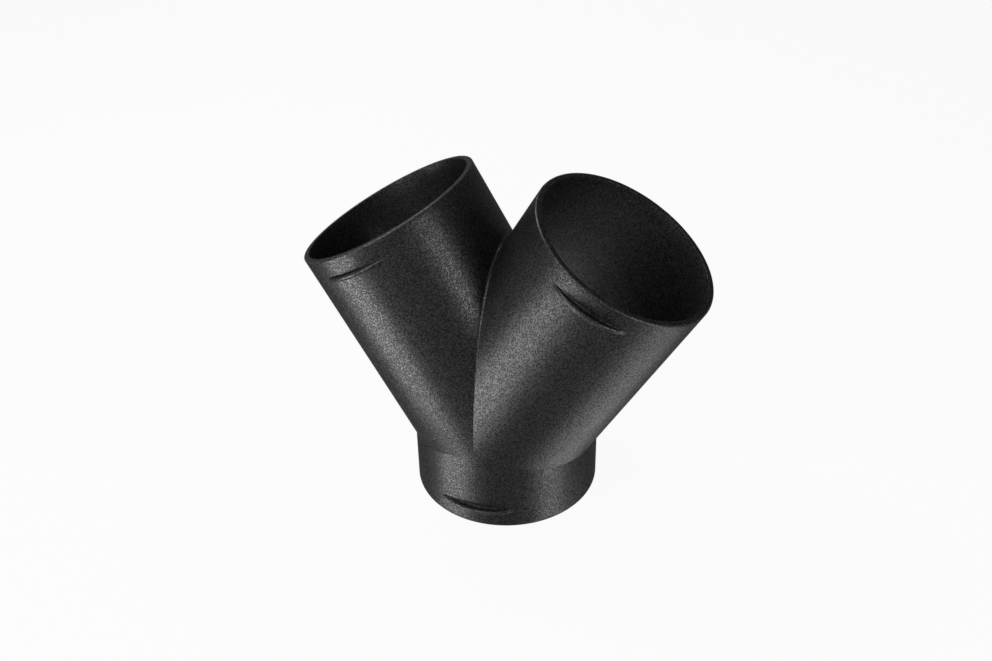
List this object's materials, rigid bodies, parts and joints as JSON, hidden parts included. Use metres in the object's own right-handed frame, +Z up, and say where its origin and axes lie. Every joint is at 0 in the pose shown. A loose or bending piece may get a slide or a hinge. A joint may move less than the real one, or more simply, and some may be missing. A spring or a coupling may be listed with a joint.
{
  "type": "duct wye fitting",
  "caption": "Thin-walled round duct wye: a short upright collar divides into equal branches that lean apart, with a narrow raised rib near each mouth.",
  "frame": {"origin": "centre of the collar's lower rim, where the fitting stands", "axes": "+Z up along the collar's axis, +X towards the right branch, +Y to the back; the three axes lie in XZ"},
  "size_m": [0.1594, 0.0802, 0.1348],
  "materials": {
    "black_plastic": "fine grained matte moulding"
  },
  "bodies": {
    "root": {"wye_body": "black_plastic"}
  },
  "joints": []
}
